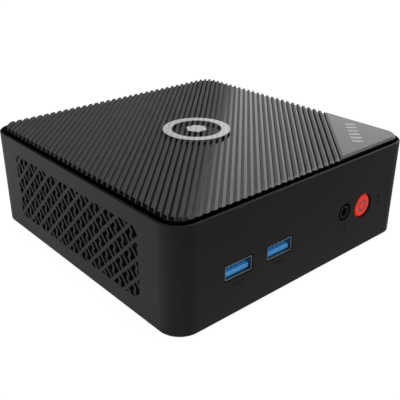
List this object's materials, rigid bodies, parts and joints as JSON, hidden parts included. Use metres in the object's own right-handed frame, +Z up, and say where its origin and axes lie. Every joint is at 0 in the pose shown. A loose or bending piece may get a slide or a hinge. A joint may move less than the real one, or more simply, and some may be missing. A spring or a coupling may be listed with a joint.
{
  "type": "mini pc",
  "caption": "Small square desktop computer with a ribbed lid, lattice side vents, front USB and audio sockets, a press-in power button, a spinning inner fan and rear sockets.",
  "frame": {"origin": "centre of the square footprint, on the plane the feet stand on", "axes": "+Z up; -Y out of the front face with the power button; +X to the right, seen from the front"},
  "size_m": [0.128, 0.128, 0.046],
  "materials": {
    "shell_plastic": "fine satin texture",
    "lid_plastic": "satin, glossy groove floors",
    "corner_plastic": "satin gloss",
    "emblem_foil": "satin",
    "print_light": "printed",
    "icon_print": "printed",
    "base_plastic": "fine satin texture",
    "foot_rubber": "matt",
    "black_screw": "black zinc",
    "steel_screw": "zinc",
    "insert_brass": "turned",
    "socket_steel": "nickel plated",
    "usb_blue": "moulded",
    "socket_black": "moulded",
    "contact_gold": "gold flash",
    "button_red": "satin gloss",
    "symbol_print": "printed",
    "board_green": "solder mask",
    "chip_black": "moulded",
    "pad_grey": "soft",
    "sink_aluminium": "milled",
    "fan_black": "moulded",
    "cable_black": "sleeved",
    "cell_steel": "rolled",
    "led_lens": "clear",
    "antenna_film": "film"
  },
  "bodies": {
    "chassis": {"audio_jack": "socket_black", "base_cover": "base_plastic", "base_inserts": "insert_brass", "base_screws": "black_screw", "board_components": "chip_black", "board_inserts": "insert_brass", "board_screws": "steel_screw", "coin_cell": "cell_steel", "corner_plate": "corner_plastic", "cpu_package": "chip_black", "dc_jack_body": "socket_black", "dc_jack_pin": "socket_steel", "fan_cable": "cable_black", "fan_frame": "fan_black", "fan_screws": "steel_screw", "front_icons": "icon_print", "hdmi_inner_shell": "socket_steel", "hdmi_outer_shell": "socket_steel", "hdmi_tongues": "socket_black", "heatsink": "sink_aluminium", "heatsink_screws": "steel_screw", "lid_emblem": "emblem_foil", "lid_print_marks": "print_light", "m2_screw": "steel_screw", "m2_socket": "socket_black", "m2_ssd": "board_green", "m2_standoff": "insert_brass", "main_shell": "shell_plastic", "memory_module": "board_green", "memory_socket": "socket_black", "motherboard": "board_green", "mount_inserts": "insert_brass", "power_led": "led_lens", "power_switch_body": "socket_black", "reset_switch_body": "socket_black", "rj45_contacts": "contact_gold", "rj45_housing": "socket_black", "rj45_shell": "socket_steel", "rubber_feet": "foot_rubber", "side_grille_left": "shell_plastic", "side_grille_right": "shell_plastic", "thermal_pad": "pad_grey", "top_lid": "lid_plastic", "usb_front_contacts": "contact_gold", "usb_front_left_shell": "socket_steel", "usb_front_left_tongue": "usb_blue", "usb_front_right_shell": "socket_steel", "usb_front_right_tongue": "usb_blue", "usb_rear_contacts": "contact_gold", "usb_rear_shells": "socket_steel", "usb_rear_tongues": "socket_black", "wifi_antennas": "antenna_film", "wifi_module": "board_green", "wifi_socket": "socket_black"},
    "power_button": {"power_button_cap": "button_red", "power_button_symbol": "symbol_print", "power_switch_plunger": "socket_black"},
    "reset_plunger": {"reset_switch_plunger": "socket_black"},
    "fan_rotor": {"fan_rotor": "fan_black"}
  },
  "joints": [
    {"name": "power_button_press", "type": "slide", "parent": "chassis", "child": "power_button", "axis": [0, 1, 0], "range_m": [0, 0.0005], "stiffness_N_per_m": 3000, "springref_m": -0.0001},
    {"name": "reset_press", "type": "slide", "parent": "chassis", "child": "reset_plunger", "axis": [0, 1, 0], "range_m": [0, 0.00025], "stiffness_N_per_m": 4000, "springref_m": -0.00005},
    {"name": "fan_spin", "type": "hinge", "parent": "chassis", "child": "fan_rotor", "pos_m": [0, 0.008, 0.0345], "axis": [0, 0, 1], "continuous": true}
  ]
}
